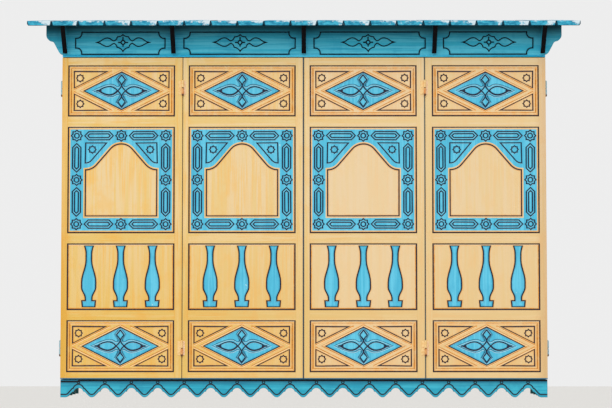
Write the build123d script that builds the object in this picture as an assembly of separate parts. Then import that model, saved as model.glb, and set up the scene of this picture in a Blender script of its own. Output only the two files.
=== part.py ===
from build123d import *
import math
import os

# A projecting window box with four carved folding shutter leaves under a small boarded roof.
# Millimetres. X runs along the wall, Y into the wall, Z up. The wall face is the plane Y = 0.
# The origin is the middle of the sill rail's wall face.

# Box
BOX_WIDTH = 1942.0
BOX_DEPTH = 480.0
POST = 45.0
SIDE_THICK = 18.0
SILL_HEIGHT = 56.0
HEAD_HEIGHT = 97.0
FLOOR_THICK = 18.0
SEAT_GAP = 0.2

# Shutter leaves
LEAF_COUNT = 4
LEAF_HEIGHT = 1288.0
LEAF_THICK = 28.0
LEAF_GAP = 3.0
LEAF_LAP = 8.0
LAP_PLAY = 0.8
STILE = 28.0
END_RAIL = 31.0
MID_RAIL = 43.0
DIAMOND_HEIGHT = 204.0
BALUSTER_HEIGHT = 264.0
SILL_LAP = 22.0
HEAD_LAP = 20.0
PANEL_SETBACK = 6.0
PANEL_REBATE = 3.0
CARVE_DEPTH = 3.0

# Diamond panels
STRAP_BORDER = 23.0
STRAP_WIDTH = 30.0
DIAMOND_SIDE_INSET = 39.0
DIAMOND_TOP_INSET = 2.0

# Arched panel
ARCH_BEAD = 9.0
ARCH_BAND = 60.0
ARCH_RISE = 104.0
ARCH_CORNER = 27.0
BEAD_STEP = 1.5
SPANDREL_STRAP = 27.0
SPANDREL_LIFT = 4.0

# Baluster panel
BALUSTER_PITCH = 127.0
BALUSTER_COUNT = 3
BALUSTER_MARGIN = 5.0
BALUSTER_TOP = 18.0
BALUSTER_NECK = 11.2
BALUSTER_BELLY = 29.0
BALUSTER_WAIST = 13.3
BALUSTER_FOOT = 27.3
FOOT_HEIGHT = 25.0
WAIST_HEIGHT = 36.0
BELLY_BASE = 78.0
BELLY_LENGTH = 22.0
NECK_LENGTH = 27.0
CAP_HEIGHT = 33.0
SWELL_FACETS = 5
BALUSTER_RELIEF = 2.0

# Frieze
FRIEZE_HEIGHT = 129.0
FRIEZE_THICK = 22.0
FRIEZE_GAP = 3.0
FRIEZE_BEAD = 8.0
WING_REACH = 67.0
WING_FOOT = 12.0
WING_DROP = 90.0
WING_LOBE_WIDTH = 16.0
WING_LOBE_DROP = 23.0
WING_LOBE_RADIUS = 26.0
WING_CORNER = 11.0
CARTOUCHE_MARGIN = 38.0
CARTOUCHE_HEIGHT = 90.0
CARTOUCHE_LIFT = 4.0
CARTOUCHE_NOTCH = 20.0
CARTOUCHE_STEP = 5.0
CARTOUCHE_DEPTH = 1.5

# Roof
ROOF_SLOPE = 9.0
ROOF_OVERHANG = 110.0
ROOF_SIDE_OVERHANG = 129.0
BOARD_WIDTH = 105.6
BOARD_THICK = 20.0
BOARD_GROOVE = 5.0
BOARD_TOP_GROOVE = 2.0
JOIST_WIDTH = 40.0

# Canopy brackets
BRACKET_THICK = 12.0
BRACKET_LIFT = 8.0
BRACKET_SETBACK = 8.0
BRACKET_NOSE = 6.0
STRAP_BAR = 18.0
STRAP_THICK = 5.0
BRACKET_END_INSET = 11.0
BRACKET_SPACING = 524.0

# Valance
VALANCE_DROP = 73.0
VALANCE_THICK = 18.0
VALANCE_GAP = 2.0
TOOTH_PITCH = 105.46
TOOTH_HEIGHT = 37.0
CUSP_HEIGHT = 22.0
LOBE_HALF = 19.5
CUSP_STEP = 4.5
TOOTH_SLOPE = 45.0
END_LAND = 15.0

# Hinges
HINGE_LENGTH = 60.0
HINGE_RADIUS = 4.5
HINGE_FACETS = 6
PIN_RADIUS = 3.2
HINGE_TIP = 3.0
HINGE_GROOVE = 2.0
HINGE_LEAF = 2.0
HINGE_INSET = 92.0
HINGE_FLAP = 24.0
FOLD_FLAP = 12.0

# Wall fixing
BOLT_RADIUS = 5.5
BOLT_INSET = 208.0

# Places worked out from the sizes above
HALF = BOX_WIDTH / 2
FRAME_HALF = HALF - SIDE_THICK
FRONT = -BOX_DEPTH
FRAME_FRONT = FRONT + LEAF_THICK
LEAF_BOTTOM = SILL_HEIGHT / 2 - SILL_LAP
LEAF_TOP = LEAF_BOTTOM + LEAF_HEIGHT
ROOF_LENGTH = BOX_WIDTH + 2 * ROOF_SIDE_OVERHANG
LEAF_WIDTH = (BOX_WIDTH - (LEAF_COUNT - 1) * LEAF_GAP) / LEAF_COUNT
ARCH_HEIGHT = LEAF_HEIGHT - 2 * END_RAIL - 3 * MID_RAIL - 2 * DIAMOND_HEIGHT - BALUSTER_HEIGHT
SILL_BASE = -SILL_HEIGHT / 2
SILL_TOP = SILL_HEIGHT / 2
HEAD_BASE = LEAF_TOP - HEAD_LAP
HEAD_TOP = HEAD_BASE + HEAD_HEIGHT
FRIEZE_BASE = LEAF_TOP + FRIEZE_GAP
FRIEZE_FRONT = FRAME_FRONT - FRIEZE_THICK
ROOF_FRONT = FRONT - ROOF_OVERHANG
ROOF_TAN = math.tan(math.radians(ROOF_SLOPE))
VALANCE_TOP = LEAF_BOTTOM - VALANCE_GAP
VALANCE_BASE = LEAF_BOTTOM - VALANCE_DROP


def roof_under(y):
    """Height of the roof boards' underside over a line at depth y."""
    return FRIEZE_BASE + FRIEZE_HEIGHT + (y - FRIEZE_FRONT) * ROOF_TAN


def block(x0, x1, y0, y1, z0, z1):
    """A squared timber between two corners."""
    low = (Align.MIN, Align.MIN, Align.MIN)
    return Pos(x0, y0, z0) * Box(x1 - x0, y1 - y0, z1 - z0, align=low)


def upright(face, thick, front=0.0):
    """A flat outline stood up facing -Y, its front at y = front and its thickness behind."""
    return Pos(0, front, 0) * extrude(Plane.XZ * face, -thick)


def crosswise(points, x0, x1):
    """An outline given as (y, z) points, drawn through from x0 to x1."""
    face = make_face(Polyline(*points, close=True))
    return Pos(x0, 0, 0) * extrude(Plane.YZ * face, x1 - x0)


def mirrored(shape):
    """The shape and its copy across the middle of the box."""
    return [shape, mirror(shape, about=Plane.YZ)]


def spread(count, end):
    """Evenly spaced places from -end to end."""
    return [-end + 2 * end * i / (count - 1) for i in range(count)]


# Frame of the box

def wall_sill_rail():
    rail = block(-FRAME_HALF + POST, FRAME_HALF - POST, -POST, 0, SILL_BASE, SILL_TOP)
    return rail - bolt_holes(0.0)


def wall_head_rail():
    rail = block(-FRAME_HALF + POST, FRAME_HALF - POST, -POST, 0, HEAD_BASE, HEAD_TOP)
    return rail - bolt_holes((HEAD_BASE + HEAD_TOP) / 2)


def bolt_holes(z):
    hole = Rot(90, 0, 0) * Cylinder(BOLT_RADIUS, 4 * POST)
    x = FRAME_HALF - POST - BOLT_INSET
    return [Pos(side * x, 0, z) * hole for side in (-1, 1)]


def front_rail(base, top):
    back = FRAME_FRONT + POST
    return block(-FRAME_HALF + POST, FRAME_HALF - POST, FRAME_FRONT, back, base, top)


def posts(y0):
    post = block(-FRAME_HALF, -FRAME_HALF + POST, y0, y0 + POST, SILL_BASE, HEAD_TOP)
    return mirrored(post)


def side_rails(base, top):
    rail = block(-FRAME_HALF, -FRAME_HALF + POST, FRAME_FRONT + POST, -POST, base, top)
    return mirrored(rail)


def floor_boards():
    floor = block(-FRAME_HALF, FRAME_HALF, FRAME_FRONT, 0, SILL_TOP, SILL_TOP + FLOOR_THICK)
    notch = POST + SEAT_GAP
    corner_x = FRAME_HALF - notch / 2
    for x in (-corner_x, corner_x):
        for y in (FRAME_FRONT + notch / 2, -notch / 2):
            floor -= Pos(x, y, SILL_TOP) * Box(notch, notch, 4 * FLOOR_THICK)
    return floor


# Carved leaves. Each piece is drawn with its front at y = 0 and its middle or corner at the origin.

def panel_blank(width, height, thick):
    """A panel board with a rebated edge that leaves a narrow gap round it in the frame."""
    board = upright(Rectangle(width, height), thick)
    edge = Rectangle(width, height) - Rectangle(width - 2 * PANEL_REBATE, height - 2 * PANEL_REBATE)
    return board - upright(edge, PANEL_REBATE)


def lozenge(half_width, half_height):
    corners = [(-half_width, 0), (0, -half_height), (half_width, 0), (0, half_height)]
    return make_face(Polyline(*corners, close=True))


def diamond_panel(width, height, thick):
    """Interlaced strap border with a sunk lozenge and four sunk corner triangles."""
    field_width = width - 2 * STRAP_BORDER
    field_height = height - 2 * STRAP_BORDER
    half_width = field_width / 2 - DIAMOND_SIDE_INSET
    half_height = field_height / 2 - DIAMOND_TOP_INSET
    reach = half_width * half_height / math.hypot(half_width, half_height)
    grow = (reach + STRAP_WIDTH) / reach
    corners = Rectangle(field_width, field_height) - lozenge(half_width * grow, half_height * grow)
    sunk = upright(lozenge(half_width, half_height), CARVE_DEPTH) + upright(corners, CARVE_DEPTH)
    return panel_blank(width, height, thick) - sunk


def ogee(low, high, corner):
    """Arc, line and arc from the low point to the high one at its right, level at both ends."""
    slope = math.atan2(high[1] - low[1], high[0] - low[0] - 2 * corner)
    radius = corner / math.tan(slope / 2)
    turn = math.degrees(slope)
    first = JernArc(low, (1, 0), radius, turn)
    last = JernArc(high, (-1, 0), radius, turn)
    return [first, Line(first @ 1, last @ 1), last]


def arch_outline(half_width, base, top):
    """Straight sides, shoulders, and an ogee on each side up to a rounded crown."""
    shoulder = top - ARCH_RISE
    crown = ogee((-half_width, shoulder), (0, top), ARCH_CORNER)
    sides = Polyline((0, top), (0, base), (-half_width, base), (-half_width, shoulder))
    half = make_face([*crown, sides])
    return half + mirror(half, about=Plane.YZ)


def arch_panel(width, height, thick):
    """Carved border with two curved spandrels round a sunk ogee-arched field."""
    band = ARCH_BEAD + ARCH_BAND
    half_width = width / 2 - band
    top = height / 2 - band
    arch = arch_outline(half_width, -top, top)
    strap = offset(arch, SPANDREL_STRAP)
    spandrel_top = top + SPANDREL_LIFT
    corner = Pos(0, spandrel_top - ARCH_RISE / 2) * Rectangle(2 * half_width, ARCH_RISE)
    spandrels = corner - strap
    field = Rectangle(width - 2 * ARCH_BEAD, height - 2 * ARCH_BEAD)
    board = panel_blank(width, height, thick) - upright(field, BEAD_STEP)
    board -= upright(arch, BEAD_STEP + CARVE_DEPTH)
    return board - upright(spandrels, BEAD_STEP + CARVE_DEPTH)


def swell(low, high):
    """Short facets along a curve from the low point to the high one, upright at both ends."""
    points = []
    for i in range(SWELL_FACETS + 1):
        t = i / SWELL_FACETS
        share = t * t * (3 - 2 * t)
        points.append((low[0] + (high[0] - low[0]) * share, low[1] + (high[1] - low[1]) * t))
    return points


def baluster_outline(height):
    """Flat turned-baluster silhouette standing on z = 0."""
    collar = height - CAP_HEIGHT
    foot = [(0, 0), (BALUSTER_FOOT, 0), (BALUSTER_FOOT, FOOT_HEIGHT), (BALUSTER_WAIST, FOOT_HEIGHT)]
    vase = swell((BALUSTER_WAIST, WAIST_HEIGHT), (BALUSTER_BELLY, BELLY_BASE))
    taper = swell((BALUSTER_BELLY, BELLY_BASE + BELLY_LENGTH), (BALUSTER_NECK, collar - NECK_LENGTH))
    side = Polyline(*foot, *vase, *taper, (BALUSTER_NECK, collar))
    flare = TangentArc(side @ 1, (BALUSTER_TOP, height), tangent=(0, 1))
    cap = Polyline(flare @ 1, (0, height), (0, 0))
    half = make_face([side, flare, cap])
    return half + mirror(half, about=Plane.YZ)


def baluster_panel(width, height, thick):
    """Plain field, sunk round flat balusters that stand up from it."""
    tall = height - 2 * (BALUSTER_MARGIN + PANEL_REBATE)
    baluster = Pos(0, -tall / 2) * baluster_outline(tall)
    field = Rectangle(width - 2 * PANEL_REBATE, height - 2 * PANEL_REBATE)
    for x in spread(BALUSTER_COUNT, BALUSTER_PITCH * (BALUSTER_COUNT - 1) / 2):
        field -= Pos(x, 0) * baluster
    return panel_blank(width, height, thick) - upright(field, BALUSTER_RELIEF)


def panel_rows():
    """Name, height and middle height of each panel in a leaf, from the bottom rail up."""
    rows = []
    base = END_RAIL
    heights = [("bottom_panel", DIAMOND_HEIGHT), ("baluster_panel", BALUSTER_HEIGHT),
               ("arch_panel", ARCH_HEIGHT), ("top_panel", DIAMOND_HEIGHT)]
    for name, height in heights:
        rows.append((name, height, base + height / 2))
        base += height + MID_RAIL
    return rows


def leaf_frame(width, thick):
    """Stiles and rails of one leaf, its lower left corner at the origin."""
    face = Pos(width / 2, LEAF_HEIGHT / 2) * Rectangle(width, LEAF_HEIGHT)
    for name, height, middle in panel_rows():
        face -= Pos(width / 2, middle) * Rectangle(width - 2 * STILE, height)
    return upright(face, thick)


def folding_frame(leaf):
    """Frame of a front leaf, with a tongue on its right edge that laps into the next one's rebate."""
    frame = leaf_frame(LEAF_WIDTH, LEAF_THICK)
    middle = LEAF_THICK / 2
    if leaf > 0:
        frame -= block(0, LEAF_LAP, middle, LEAF_THICK, 0, LEAF_HEIGHT)
    if leaf < LEAF_COUNT - 1:
        tip = LEAF_WIDTH + LEAF_GAP + LEAF_LAP - LAP_PLAY
        frame += block(LEAF_WIDTH, tip, middle + LAP_PLAY, LEAF_THICK, 0, LEAF_HEIGHT)
    return frame


def leaf_panels(width, thick):
    """The four panels of one leaf, by name, placed in its frame."""
    makers = {"bottom_panel": diamond_panel, "baluster_panel": baluster_panel,
              "arch_panel": arch_panel, "top_panel": diamond_panel}
    clear = 2 * SEAT_GAP
    panels = {}
    for name, height, middle in panel_rows():
        make = makers[name]
        panel = make(width - 2 * STILE - clear, height - clear, thick - PANEL_SETBACK)
        panels[name] = Pos(width / 2, 0, middle) * panel
    return panels


# Hinges

def hinge_barrel():
    """Two knuckles on a pin whose tips show above and below, standing on z = 0."""
    knuckle = extrude(RegularPolygon(HINGE_RADIUS, HINGE_FACETS), (HINGE_LENGTH - HINGE_GROOVE) / 2)
    pin = extrude(RegularPolygon(PIN_RADIUS, HINGE_FACETS), HINGE_LENGTH + 2 * HINGE_TIP)
    upper = Pos(0, 0, (HINGE_LENGTH + HINGE_GROOVE) / 2) * knuckle
    return knuckle + upper + Pos(0, 0, -HINGE_TIP) * pin


def fold_hinge():
    """Barrel proud of the leaves, with its flaps let into the gap between them."""
    y = FRONT - HINGE_RADIUS
    flap = LEAF_GAP - 2 * SEAT_GAP
    barrel = Pos(0, y, 0) * hinge_barrel()
    return barrel + block(-flap / 2, flap / 2, y, FRONT + FOLD_FLAP, 0, HINGE_LENGTH)


def side_hinge():
    """Barrel at the left rear edge of a leaf, with flaps on the leaf's edge and on the side."""
    barrel = Pos(-HALF - HINGE_RADIUS, FRAME_FRONT, 0) * hinge_barrel()
    flap = block(-HALF - HINGE_LEAF, -HALF, FRAME_FRONT - HINGE_FLAP, FRAME_FRONT + HINGE_FLAP,
                 0, HINGE_LENGTH)
    return barrel + flap


def hinge_heights():
    return [LEAF_BOTTOM + HINGE_INSET, LEAF_TOP - HINGE_INSET - HINGE_LENGTH]


# Frieze

def wing_end(base, top):
    """Outline of the frieze end right of x = 0: a lobe, a cusp and an ogee down to the box."""
    foot = (0, base + WING_FOOT)
    lobe_top = (WING_REACH, base + WING_DROP)
    cusp = (WING_REACH - WING_LOBE_WIDTH, base + WING_DROP - WING_LOBE_DROP)
    lobe = RadiusArc(lobe_top, cusp, WING_LOBE_RADIUS)
    sides = Polyline(foot, (0, top), (WING_REACH, top), lobe_top)
    return make_face([sides, lobe, *ogee(foot, cusp, WING_CORNER)])


def cartouche(width):
    """A long rectangle with a stepped round notch in each corner."""
    notch = 2 * (CARTOUCHE_NOTCH + CARTOUCHE_STEP)
    x = width / 2 - CARTOUCHE_STEP
    z = CARTOUCHE_HEIGHT / 2 - CARTOUCHE_STEP
    face = Rectangle(2 * x, 2 * z)
    for corner in [(-x, -z), (-x, z), (x, -z), (x, z)]:
        face -= Pos(*corner) * Circle(CARTOUCHE_NOTCH)
    return face + Rectangle(width, CARTOUCHE_HEIGHT - notch) + Rectangle(width - notch, CARTOUCHE_HEIGHT)


def frieze_board():
    top = roof_under(FRIEZE_FRONT) - SEAT_GAP
    middle = (FRIEZE_BASE + top) / 2
    wing = Pos(HALF, 0) * wing_end(FRIEZE_BASE, top)
    face = Pos(0, middle) * Rectangle(BOX_WIDTH, top - FRIEZE_BASE)
    face += wing
    face += mirror(wing, about=Plane.YZ)
    board = upright(face, FRIEZE_THICK, FRIEZE_FRONT)
    half_bead = FRIEZE_BEAD / 2
    bead = Pos(0, FRIEZE_FRONT, FRIEZE_BASE + half_bead) * Rot(0, 90, 0) * Cylinder(half_bead, BOX_WIDTH)
    board += bead
    height = FRIEZE_BASE + FRIEZE_BEAD + CARTOUCHE_LIFT + CARTOUCHE_HEIGHT / 2
    places = bracket_places()
    for left, right in zip(places, places[1:]):
        sunk = Pos((left + right) / 2, height) * cartouche(right - left - 2 * CARTOUCHE_MARGIN)
        board -= upright(sunk, CARTOUCHE_DEPTH, FRIEZE_FRONT)
    return board


def side_frieze():
    """The left cheek board under the sloping roof."""
    outline = [(FRAME_FRONT, FRIEZE_BASE), (0, FRIEZE_BASE), (0, roof_under(0) - SEAT_GAP),
               (FRAME_FRONT, roof_under(FRAME_FRONT) - SEAT_GAP)]
    return crosswise(outline, -HALF, -HALF + SIDE_THICK)


# Roof

def roof_deck():
    """Boards with V joints on both faces, laid up the slope and cut upright at the wall."""
    half = ROOF_LENGTH / 2
    deck = Rectangle(ROOF_LENGTH, BOARD_THICK)
    pairs = int(half / BOARD_WIDTH)
    for i in range(-pairs, pairs):
        x = (i + 0.5) * BOARD_WIDTH
        deck -= Pos(x, -BOARD_THICK / 2) * lozenge(BOARD_GROOVE, BOARD_GROOVE)
        deck -= Pos(x, BOARD_THICK / 2) * lozenge(BOARD_TOP_GROOVE, BOARD_TOP_GROOVE)
    run = (BOX_DEPTH + ROOF_OVERHANG) / math.cos(math.radians(ROOF_SLOPE)) + BOARD_THICK
    boards = Pos(0, 0, BOARD_THICK / 2) * extrude(Plane.XZ * deck, -run)
    boards = Pos(0, ROOF_FRONT, roof_under(ROOF_FRONT)) * Rot(ROOF_SLOPE, 0, 0) * boards
    return boards - block(-half, half, 0, BOX_DEPTH, HEAD_BASE, 2 * HEAD_TOP)


def joist_places():
    end = FRAME_HALF - JOIST_WIDTH / 2 - SEAT_GAP
    return [-end, -BRACKET_SPACING, 0, BRACKET_SPACING, end]


def roof_joists():
    """Tapered joists on the head rails, their tops cut to the roof slope."""
    outline = [(FRAME_FRONT, HEAD_TOP), (0, HEAD_TOP), (0, roof_under(0)),
               (FRAME_FRONT, roof_under(FRAME_FRONT))]
    half = JOIST_WIDTH / 2
    return [crosswise(outline, x - half, x + half) for x in joist_places()]


# Canopy brackets

def bracket_places():
    end = HALF - BRACKET_END_INSET
    return [-end, -BRACKET_SPACING, 0, BRACKET_SPACING, end]


def bracket_line():
    """Foot and head of the sloping front edge of a bracket, as (y, z)."""
    foot_z = FRIEZE_BASE + FRIEZE_BEAD + BRACKET_LIFT
    foot = (FRIEZE_FRONT - FRIEZE_BEAD / 2 - BRACKET_NOSE, foot_z)
    head_y = ROOF_FRONT + BRACKET_SETBACK + STRAP_THICK
    return foot, (head_y, roof_under(head_y) - SEAT_GAP)


def canopy_brackets():
    """Triangular gussets between the frieze and the roof boards."""
    foot, head = bracket_line()
    outline = [(FRIEZE_FRONT, foot[1]), foot, head,
               (FRIEZE_FRONT, roof_under(FRIEZE_FRONT) - SEAT_GAP)]
    half = BRACKET_THICK / 2
    return [crosswise(outline, x - half, x + half) for x in bracket_places()]


def bracket_straps():
    """Flat iron bars down the front edges of the brackets."""
    foot, head = bracket_line()
    length = math.hypot(head[0] - foot[0], head[1] - foot[1])
    out = (-(head[1] - foot[1]) / length * STRAP_THICK, (head[0] - foot[0]) / length * STRAP_THICK)
    lip = (head[0] + out[0], roof_under(head[0] + out[0]) - SEAT_GAP)
    outline = [foot, (foot[0] + out[0], foot[1] + out[1]), lip, head]
    half = STRAP_BAR / 2
    return [crosswise(outline, x - half, x + half) for x in bracket_places()]


# Valance

def valance_board(length):
    """A board with a row of lobed arches cut up into its lower edge, from x = 0 to length."""
    count = int((length - 2 * END_LAND) / TOOTH_PITCH)
    land = (length - count * TOOTH_PITCH) / 2
    half = TOOTH_PITCH / 2
    shoulder = half - LOBE_HALF - CUSP_STEP
    slope = math.radians(TOOTH_SLOPE)
    tip_radius = (shoulder * math.tan(slope) - CUSP_HEIGHT) / (1 / math.cos(slope) - 1)
    edges = []
    for i in range(count):
        x = land + i * TOOTH_PITCH
        far = x + TOOTH_PITCH
        near_tip = JernArc((x, 0), (1, 0), tip_radius, TOOTH_SLOPE)
        far_tip = JernArc((far, 0), (-1, 0), tip_radius, -TOOTH_SLOPE)
        foot = (x + shoulder + CUSP_STEP, CUSP_HEIGHT)
        far_foot = (far - shoulder - CUSP_STEP, CUSP_HEIGHT)
        edges.append(near_tip)
        edges.append(Polyline(near_tip @ 1, (x + shoulder, CUSP_HEIGHT), foot))
        edges.append(ThreePointArc(foot, (x + half, TOOTH_HEIGHT), far_foot))
        edges.append(Polyline(far_foot, (far - shoulder, CUSP_HEIGHT), far_tip @ 1))
        edges.append(far_tip)
    top = VALANCE_TOP - VALANCE_BASE
    edges.append(Polyline((length - land, 0), (length, 0), (length, top), (0, top), (0, 0), (land, 0)))
    return upright(make_face(edges), VALANCE_THICK)


def on_left_side(piece, back=0.0):
    """Turn a piece drawn from x = 0 at the wall so that it faces left on the box."""
    return Pos(-HALF, back, 0) * Rot(0, 0, -90) * piece


def write(name, shape):
    solids = shape if isinstance(shape, list) else [shape]
    export_step(Compound(children=solids), f"parts/{name}.step")


def main():
    os.makedirs("parts", exist_ok=True)
    write("wall_sill_rail", wall_sill_rail())
    write("wall_head_rail", wall_head_rail())
    write("wall_posts", posts(-POST))
    write("front_posts", posts(FRAME_FRONT))
    write("front_sill_rail", front_rail(SILL_BASE, SILL_TOP))
    write("front_head_rail", front_rail(HEAD_BASE, HEAD_TOP))
    write("side_sill_rails", side_rails(SILL_BASE, SILL_TOP))
    write("side_head_rails", side_rails(HEAD_BASE, HEAD_TOP))
    write("floor_boards", floor_boards())

    panels = leaf_panels(LEAF_WIDTH, LEAF_THICK)
    for i in range(LEAF_COUNT):
        place = Pos(-HALF + i * (LEAF_WIDTH + LEAF_GAP), FRONT, LEAF_BOTTOM)
        write(f"leaf_{i + 1}_frame", place * folding_frame(i))
        for name, panel in panels.items():
            write(f"leaf_{i + 1}_{name}", place * panel)

    side_width = -FRAME_FRONT
    side_frame = Pos(0, 0, LEAF_BOTTOM) * on_left_side(leaf_frame(side_width, SIDE_THICK))
    side_panels = [Pos(0, 0, LEAF_BOTTOM) * on_left_side(panel)
                   for panel in leaf_panels(side_width, SIDE_THICK).values()]
    write("left_side_frame", side_frame)
    write("left_side_panels", side_panels)
    write("right_side_frame", mirror(side_frame, about=Plane.YZ))
    write("right_side_panels", [mirror(panel, about=Plane.YZ) for panel in side_panels])

    fold_x = [(LEAF_WIDTH + LEAF_GAP) * side for side in (-1, 1)]
    write("fold_hinges", [Pos(x, 0, z) * fold_hinge() for x in fold_x for z in hinge_heights()])
    left_hinges = [Pos(0, 0, z) * side_hinge() for z in hinge_heights()]
    write("side_hinges", [piece for hinge in left_hinges for piece in mirrored(hinge)])

    write("frieze_board", frieze_board())
    cheek = side_frieze()
    write("left_side_frieze", cheek)
    write("right_side_frieze", mirror(cheek, about=Plane.YZ))
    write("roof_deck", roof_deck())
    write("roof_joists", roof_joists())
    write("canopy_brackets", canopy_brackets())
    write("bracket_straps", bracket_straps())

    write("front_valance", Pos(-HALF, FRAME_FRONT - VALANCE_THICK, VALANCE_BASE) * valance_board(BOX_WIDTH))
    side_valance = Pos(0, 0, VALANCE_BASE) * on_left_side(valance_board(side_width))
    write("left_valance", side_valance)
    write("right_valance", mirror(side_valance, about=Plane.YZ))


main()
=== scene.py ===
import random
from collections import namedtuple
from math import asin, atan2, cos, dist, hypot, pi, radians, sin, sqrt, tan

import bmesh
import bpy
import numpy as np
from mathutils import Matrix, Vector, noise
from mathutils.geometry import delaunay_2d_cdt


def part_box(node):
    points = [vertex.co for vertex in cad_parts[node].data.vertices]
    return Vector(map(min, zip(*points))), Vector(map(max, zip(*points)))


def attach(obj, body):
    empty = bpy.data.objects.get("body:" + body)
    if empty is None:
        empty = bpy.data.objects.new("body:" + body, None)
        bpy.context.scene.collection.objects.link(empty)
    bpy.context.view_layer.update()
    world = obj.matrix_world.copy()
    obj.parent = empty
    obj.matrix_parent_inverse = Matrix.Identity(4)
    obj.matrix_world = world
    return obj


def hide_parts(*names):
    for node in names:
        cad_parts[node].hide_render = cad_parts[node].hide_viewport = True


# Metres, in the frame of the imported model: X along the wall, Y into it, Z up.
# Boards are drawn flat, x to the right and z up, most of them from their middle,
# and carved from the front.

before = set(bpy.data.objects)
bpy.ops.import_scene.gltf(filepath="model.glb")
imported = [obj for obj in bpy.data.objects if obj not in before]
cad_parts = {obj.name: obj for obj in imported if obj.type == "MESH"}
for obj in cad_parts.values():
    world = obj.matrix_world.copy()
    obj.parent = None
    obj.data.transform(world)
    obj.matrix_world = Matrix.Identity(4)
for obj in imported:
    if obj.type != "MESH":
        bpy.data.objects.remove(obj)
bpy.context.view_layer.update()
random.seed(7)
noise.seed_set(7)

MM = 0.001
TINY = 1e-6
BODY = "root"
LEAVES = 4


def mm(*lengths):
    """Lengths given in millimetres."""
    return tuple(length * MM for length in lengths)


Tool = namedtuple("Tool", "half depth line stain reach")


def cutter(half, depth, line, stain, reach):
    """A carving tool, its half width, depth and reach given in millimetres."""
    return Tool(half * MM, depth * MM, line, stain, reach * MM)


# Camera, fitted to the photograph's frame of 612 by 408
CAMERA_PLACE = (0.0394, -8.4733, 0.2071)
CAMERA_TILT = 3.56
CAMERA_TURN = 0.22
LENS = 117.647
SENSOR = 36.0
FLOOR_Z = -0.9
FLOOR_SIZE = 60.0
FLOOR_TONE = (232, 230, 226)

# Carving tools: half width and depth of the cut, strength of its paint line and of its stain,
# and the stain's reach beyond the cut
BORDER = cutter(6.4, 3.0, 1.0, 0.7, 5.0)
LINE = cutter(3.1, 2.2, 1.0, 0.6, 5.0)
FINE = cutter(2.9, 2.0, 1.0, 0.4, 2.5)
RIBBON = cutter(3.0, 2.2, 1.0, 0.4, 2.5)
SHADE = cutter(4.2, 2.6, 1.0, 0.5, 3.0)
BEAD = cutter(2.8, 1.6, 0.17, 1.0, 2.5)
# SCORE's teal stain is painted shade in its unpainted groove.
SCORE = cutter(2.8, 2.0, 0.16, 1.0, 2.0)
ARRIS = cutter(1.2, 0.9, 0.0, 0.5, 3.0)
SEAM = cutter(0.5, 0.3, 0.0, 0.1, 1.0)
NOTCH = cutter(1.7, 1.4, 1.0, 0.8, 3.0)
MITRE = 2.2
HAND_FREQUENCY = 14.0
HAND_SPREAD = 90
HAND_DRIFT = 0.9 * MM
FREE_EDGE = 22 * MM
BATCH = 400

# Leaf and side boards
LEAF_GAP = 3 * MM
LEAF_LAP = 8 * MM
LAP_PLAY = 0.8 * MM
STILE = 28 * MM
PANEL_GROW = 1.5 * MM
PANEL_DROPS = mm(2.8, 2.8, 2.4, 1.0)
LEAF_SLIPS = mm(-3.2, -4.6, -4.8, -0.4)
TEAL_FOOT_HEIGHT = 4 * MM

# Diamond panels
STRAP_BORDER = 24.5 * MM
STRAP = 27 * MM
DIAMOND_SIDE_INSET = 38 * MM
DIAMOND_TOP_INSET = 3 * MM
BORDER_BEAD = 13 * MM
STRAP_BEAD = 7 * MM
TRIANGLE_BEAD = 6 * MM
STAR_INSET = mm(24, 27)
STAR = 15 * MM
TRIANGLE_DEPTH = 1.5 * MM

# Arched panels
ARCH_BEAD = 10.5 * MM
ARCH_BAND = 58.5 * MM
ARCH_SIDE = 3 * MM
ROSETTE_INSET = 36.2 * MM
ARCH_RISE = 104 * MM
ARCH_CORNER = 27 * MM
ARCH_LIP = 8 * MM
ARCH_DEPTH = 2 * MM
ROSETTE = 22.4 * MM
ROSETTE_RING = 9.6 * MM
HEXAGON = mm(115, 33, 16)
HEXAGON_INSET = 9 * MM
HEXAGON_GAP = 5 * MM
SPANDREL_STRAP = 27 * MM
SPANDREL_LIFT = 4 * MM
SPANDREL_STAR = 27 * MM

# Baluster panels
BALUSTER_PITCH = 127 * MM
BALUSTER_MARGIN = mm(12, 8)
BALUSTER_TOP = 18 * MM
BALUSTER_NECK = 11.2 * MM
BALUSTER_BELLY = 28 * MM
BALUSTER_WAIST = 13.3 * MM
BALUSTER_FOOT = mm(25, 27.4)
FOOT_HEIGHT = 25 * MM
WAIST_HEIGHT = 36 * MM
BELLY_HEIGHTS = mm(78, 100)
NECK_DROPS = mm(60, 33)
PANEL_BEAD = 5 * MM

# Frieze
SEAT = 0.2 * MM
FRIEZE_BEAD = 8 * MM
BAR_WIDTH = 18 * MM
BAR_SPACING = 524 * MM
CARTOUCHE_MARGIN = 38 * MM
CARTOUCHE_HEIGHT = 90 * MM
CARTOUCHE_LIFT = 4 * MM
CARTOUCHE_NOTCH = 20 * MM
CARTOUCHE_STEP = 5 * MM
CARTOUCHE_SHIFTS = mm(2.5, 3, 3, 0.0)
MOTIF_SHIFTS = mm(11, 2, -6, 3)
MOTIF_LIFT = 3.5 * MM
MOTIF_RING = 7.8 * MM
SPIKE_START = 10 * MM
SPIKE_ENDS = mm(19, 21, 19, 16)
CARTOUCHE_LINE = cutter(2.9, 2, 1.0, 0.4, 4.0)
MOTIF = cutter(2.6, 1.6, 1.0, 0.3, 2.0)
WING_FOOT = 12 * MM
WING_DROP = 90 * MM
WING_LOBE = mm(16, 23)
WING_CORNER = 11 * MM
WING_CURVE = mm(6, 3, 14)

# Roof
ROOF_SLOPE = radians(9)
BOARD = 105.6 * MM
BOARD_THICK = 20 * MM
BOARD_GROOVE = 5 * MM
BOARD_TOP_GROOVE = 2 * MM
BOARD_BEVEL = 1.3
BOARD_PLAY = 0.8 * MM
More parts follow.
